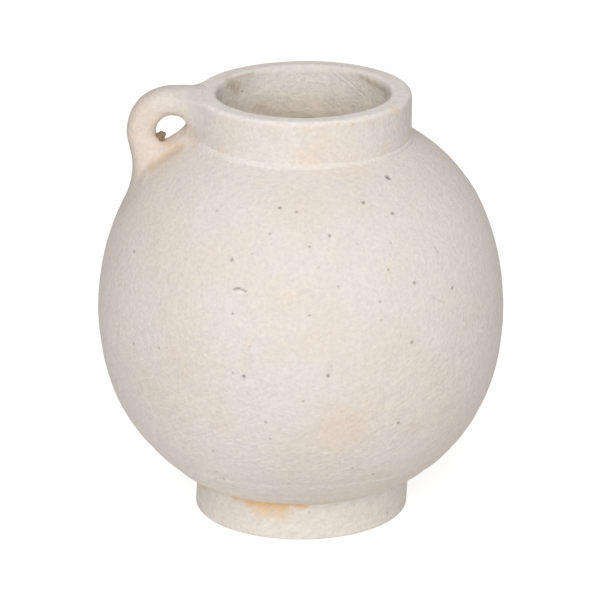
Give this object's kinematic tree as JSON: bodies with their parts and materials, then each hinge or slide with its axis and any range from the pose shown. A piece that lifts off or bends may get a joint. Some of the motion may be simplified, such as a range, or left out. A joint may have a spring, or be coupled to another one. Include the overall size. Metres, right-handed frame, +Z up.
{
  "type": "jug",
  "caption": "Round-bellied earthenware jug with a short collar neck, a thick flat rim, a plain foot ring and a small rolled lug handle from rim to shoulder.",
  "frame": {"origin": "centre of the foot ring's standing plane, on the jug's turning axis", "axes": "+Z up along the turning axis, -X towards the handle"},
  "size_m": [0.23, 0.23, 0.2493],
  "materials": {
    "limewash": "matt limewash over low-fired earthenware, sandy, with warm stains and pits",
    "bare_clay": "unwashed low-fired earthenware, matt"
  },
  "bodies": {
    "root": {"lower_bowl": "limewash", "shoulder_dome": "limewash", "belly_seam_coil": "bare_clay", "neck_collar": "limewash", "neck_luting_bead": "limewash", "foot_ring": "limewash", "foot_luting_coil": "bare_clay", "handle": "limewash", "upper_handle_wad": "limewash", "lower_handle_wad": "limewash"}
  },
  "joints": []
}
